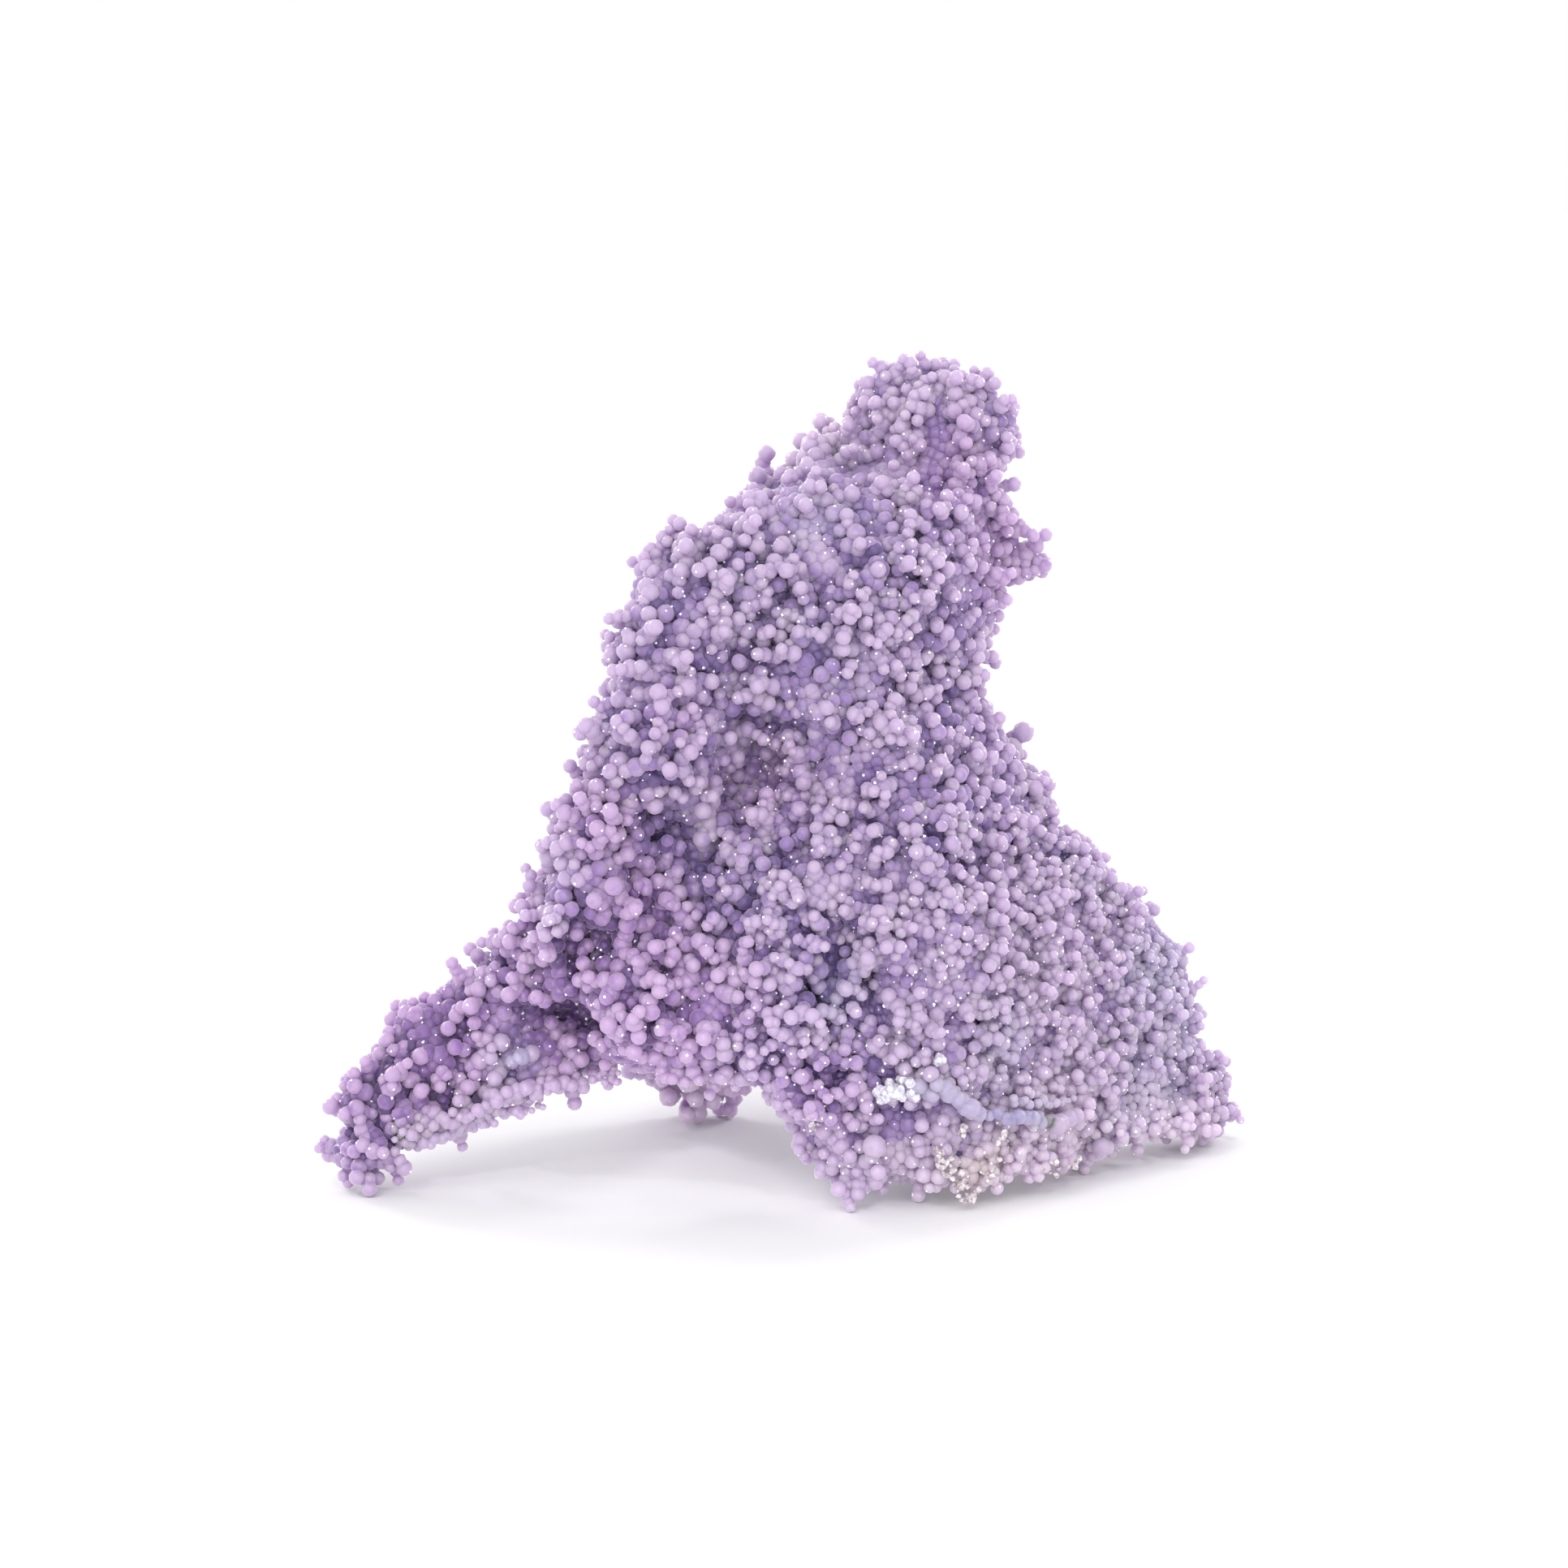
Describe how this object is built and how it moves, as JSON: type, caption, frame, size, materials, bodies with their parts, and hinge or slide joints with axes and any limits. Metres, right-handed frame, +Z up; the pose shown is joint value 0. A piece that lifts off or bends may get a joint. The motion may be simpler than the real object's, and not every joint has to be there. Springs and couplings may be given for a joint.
{
  "type": "botryoidal chalcedony specimen",
  "caption": "Folded crust of small lavender chalcedony spheres that stands like a tent, with a tall tower, a rounded shoulder and a low wing over an open arch.",
  "frame": {"origin": "under the middle of the bounding box, on the surface that the specimen stands on", "axes": "+Z up, +X to the right along the specimen's width as the picture shows it, +Y away from the viewer"},
  "size_m": [0.1406, 0.0686, 0.1199],
  "materials": {
    "chalcedony": "waxy, translucent lavender"
  },
  "bodies": {
    "root": {"chalcedony": "chalcedony"}
  },
  "joints": []
}
